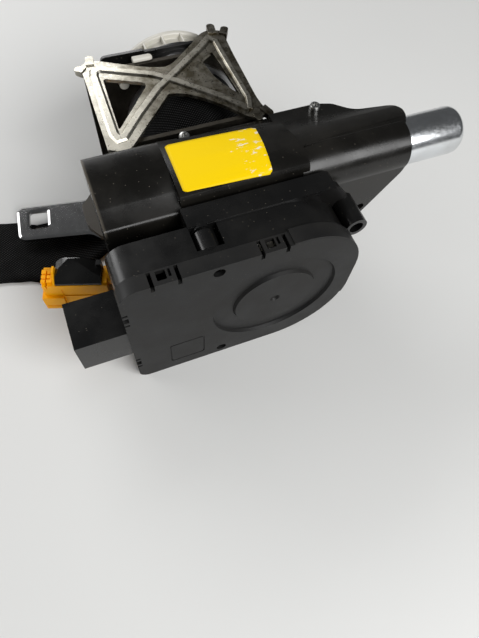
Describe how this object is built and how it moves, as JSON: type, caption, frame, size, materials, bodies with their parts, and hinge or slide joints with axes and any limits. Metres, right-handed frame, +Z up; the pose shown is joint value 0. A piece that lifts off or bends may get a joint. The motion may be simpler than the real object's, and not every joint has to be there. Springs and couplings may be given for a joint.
{
  "type": "seat belt retractor",
  "caption": "Motorised seat belt retractor: steel frame with wound webbing spool, rack pretensioner with plated tube, and plastic gearbox.",
  "frame": {"origin": "centre of the anchor bolt hole on the underside of the base plate, which is also the plane the part rests on", "axes": "+X along the pretensioner tube towards its closed end, +Y along the spool axis away from the gearbox, +Z up from the base plate"},
  "size_m": [0.3885, 0.173, 0.1],
  "materials": {
    "zinc_steel": "zinc plated, slightly worn",
    "chrome_steel": "polished plating",
    "black_plastic": "matt moulded",
    "white_plastic": "natural moulded",
    "cast_aluminium": "die cast",
    "label_film": "satin printed film, blank",
    "yellow_plastic": "moulded",
    "black_webbing": "woven polyester",
    "board": "solder resist",
    "contact_brass": "plain"
  },
  "bodies": {
    "frame": {"base_plate": "zinc_steel", "side_plate_near": "zinc_steel", "side_plate_far": "zinc_steel", "tie_plate": "zinc_steel", "tie_bars": "zinc_steel", "belt_guide": "black_plastic", "bush_near": "white_plastic", "bush_far": "white_plastic", "return_spring": "zinc_steel", "lock_cover": "black_plastic", "spring_cover": "white_plastic", "cover_screws": "zinc_steel", "pawl_pin": "zinc_steel", "sensor_housing": "black_plastic", "sensor_ball": "zinc_steel", "lever_pin": "zinc_steel", "adapter_plate": "cast_aluminium", "pretensioner_housing": "black_plastic", "pretensioner_tube": "zinc_steel", "gas_manifold": "cast_aluminium", "gas_generator": "contact_brass", "housing_screws": "zinc_steel", "label": "label_film", "gearbox_case": "black_plastic", "gearbox_cover": "black_plastic", "gearbox_screws": "zinc_steel", "idler_pin": "zinc_steel", "motor_can": "zinc_steel", "circuit_board": "board", "connector_pins": "contact_brass", "squib_plug": "yellow_plastic", "webbing_tail": "black_webbing", "tongue_plate": "chrome_steel", "tongue_cover": "black_plastic", "end_anchor": "zinc_steel"},
    "spool": {"spool_core": "cast_aluminium", "spool_shaft": "zinc_steel", "webbing_roll": "black_webbing", "ratchet_wheel": "zinc_steel", "spring_arbor": "white_plastic"},
    "pinion": {"drive_pinion": "zinc_steel"},
    "piston": {"piston_rack": "zinc_steel"},
    "clutch": {"clutch_gear": "white_plastic"},
    "idler": {"idler_gear": "white_plastic"},
    "rotor": {"motor_rotor": "contact_brass"},
    "pawl": {"lock_pawl": "zinc_steel"},
    "lever": {"sensor_lever": "white_plastic"},
    "plug_slide": {"plug_lock": "black_plastic"}
  },
  "joints": [
    {"name": "spool_spin", "type": "hinge", "parent": "frame", "child": "spool", "pos_m": [-0.0525, 0, 0.0475], "axis": [0, 1, 0], "continuous": true},
    {"name": "pinion_turn", "type": "hinge", "parent": "frame", "child": "pinion", "pos_m": [-0.0525, -0.0683, 0.0475], "axis": [0, 1, 0], "range_deg": [0, 76.3]},
    {"name": "piston_slide", "type": "slide", "parent": "frame", "child": "piston", "axis": [1, 0, 0], "range_m": [0, 0.04]},
    {"name": "clutch_spin", "type": "hinge", "parent": "frame", "child": "clutch", "pos_m": [-0.0525, -0.104, 0.0475], "axis": [0, 1, 0], "continuous": true},
    {"name": "idler_spin", "type": "hinge", "parent": "frame", "child": "idler", "pos_m": [-0.09197, -0.102, 0.03313], "axis": [0, 1, 0], "continuous": true},
    {"name": "rotor_spin", "type": "hinge", "parent": "frame", "child": "rotor", "pos_m": [-0.10932, -0.105, 0.05382], "axis": [0, 1, 0], "continuous": true},
    {"name": "pawl_swing", "type": "hinge", "parent": "frame", "child": "pawl", "pos_m": [-0.0235, 0.0335, 0.0395], "axis": [0, -1, 0], "range_deg": [0, 22], "stiffness_Nm_per_rad": 0.01, "springref_deg": -11.46},
    {"name": "lever_lift", "type": "hinge", "parent": "frame", "child": "lever", "pos_m": [-0.0395, 0.034, 0.0222], "axis": [0, 1, 0], "range_deg": [0, 3]},
    {"name": "plug_release", "type": "slide", "parent": "frame", "child": "plug_slide", "axis": [0, 0, 1], "range_m": [0, 0.004]}
  ],
  "couplings": [
    {"joint": "piston_slide", "follows": "pinion_turn", "m_per_rad": 0.03},
    {"joint": "idler_spin", "follows": "rotor_spin", "ratio": -0.28571},
    {"joint": "clutch_spin", "follows": "rotor_spin", "ratio": 0.077922}
  ]
}
